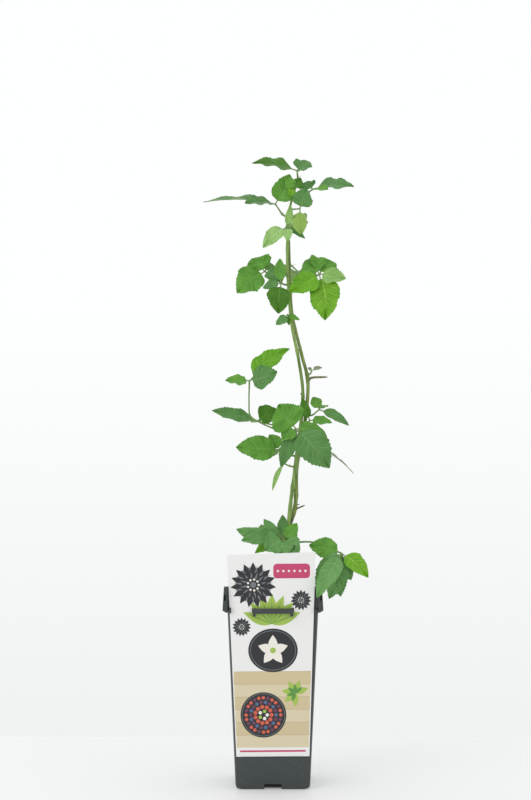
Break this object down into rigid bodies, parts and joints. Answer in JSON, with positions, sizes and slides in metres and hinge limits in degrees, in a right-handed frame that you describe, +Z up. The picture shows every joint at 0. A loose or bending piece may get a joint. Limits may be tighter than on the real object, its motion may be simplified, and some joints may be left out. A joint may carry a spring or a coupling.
{
  "type": "potted thornless bramble",
  "caption": "Young thornless bramble in a tall square pot: slender green shoots with compound toothed leaves, and a printed card in the pot's front.",
  "frame": {"origin": "the middle of the pot's flat underside", "axes": "+Z up along the plant, the pot's front with its card faces -Y, +X to the right as seen from the front"},
  "size_m": [0.1824, 0.1346, 0.6987],
  "materials": {
    "pot_plastic": "dark grey injection-moulded plastic, satin",
    "card": "printed plastic card, satin",
    "soil": "moist crumbly potting soil",
    "bark": "rough brown bark",
    "shoot": "smooth green shoot",
    "leaf": "green leaf with a soft sheen above, paler below"
  },
  "bodies": {
    "root": {"pot": "pot_plastic", "label_card": "card", "soil": "soil", "woody_stem": "bark", "shoot_tall": "shoot", "shoot_second": "shoot", "side_stub": "shoot", "leaf_crown": "leaf", "leaf_high_right": "leaf", "leaf_young_tip": "leaf", "leaf_high_round": "leaf", "leaf_high_left": "leaf", "leaf_high_back": "leaf", "leaf_young_left": "leaf", "leaf_upper_left": "leaf", "leaf_upper_centre": "leaf", "leaf_upper_right": "leaf", "leaf_upper_back": "leaf", "leaf_node_small": "leaf", "leaf_mid_tiny": "leaf", "leaf_mid_left": "leaf", "leaf_mid_right": "leaf", "leaf_mid_small": "leaf", "leaf_low_long": "leaf", "leaf_front": "leaf", "leaf_low_big": "leaf", "leaf_low_narrow": "leaf", "leaf_low_back": "leaf", "leaf_base_left": "leaf", "leaf_base_front": "leaf", "leaf_base_right": "leaf", "leaf_base_back": "leaf"}
  },
  "joints": []
}
